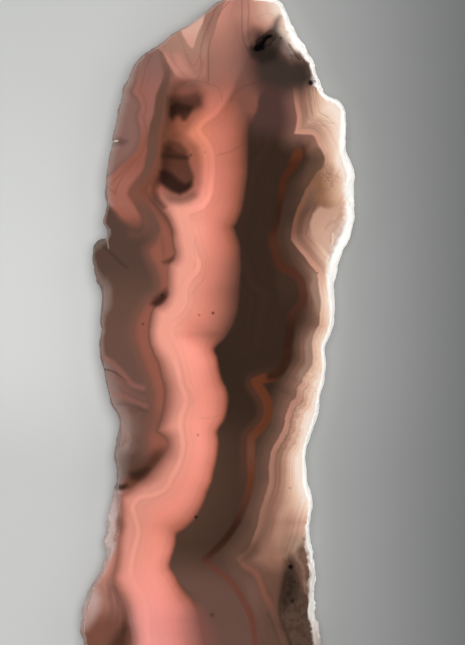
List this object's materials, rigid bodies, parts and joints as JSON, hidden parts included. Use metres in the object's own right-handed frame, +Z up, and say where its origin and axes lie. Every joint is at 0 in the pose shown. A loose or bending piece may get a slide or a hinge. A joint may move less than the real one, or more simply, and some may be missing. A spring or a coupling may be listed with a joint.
{
  "type": "banded calcite slab",
  "caption": "Long flat slab of banded pink and brown manganoan calcite with a polished face and a rough white rind along one side.",
  "frame": {"origin": "middle of the flat sawn underside, on the plane the slab rests on", "axes": "+Z up out of the polished face, +Y towards the narrow crest, +X towards the side with the white rind"},
  "size_m": [0.0692, 0.1764, 0.008],
  "materials": {
    "banded_calcite": "polished face, rough broken rim"
  },
  "bodies": {
    "root": {"calcite_slab": "banded_calcite"}
  },
  "joints": []
}
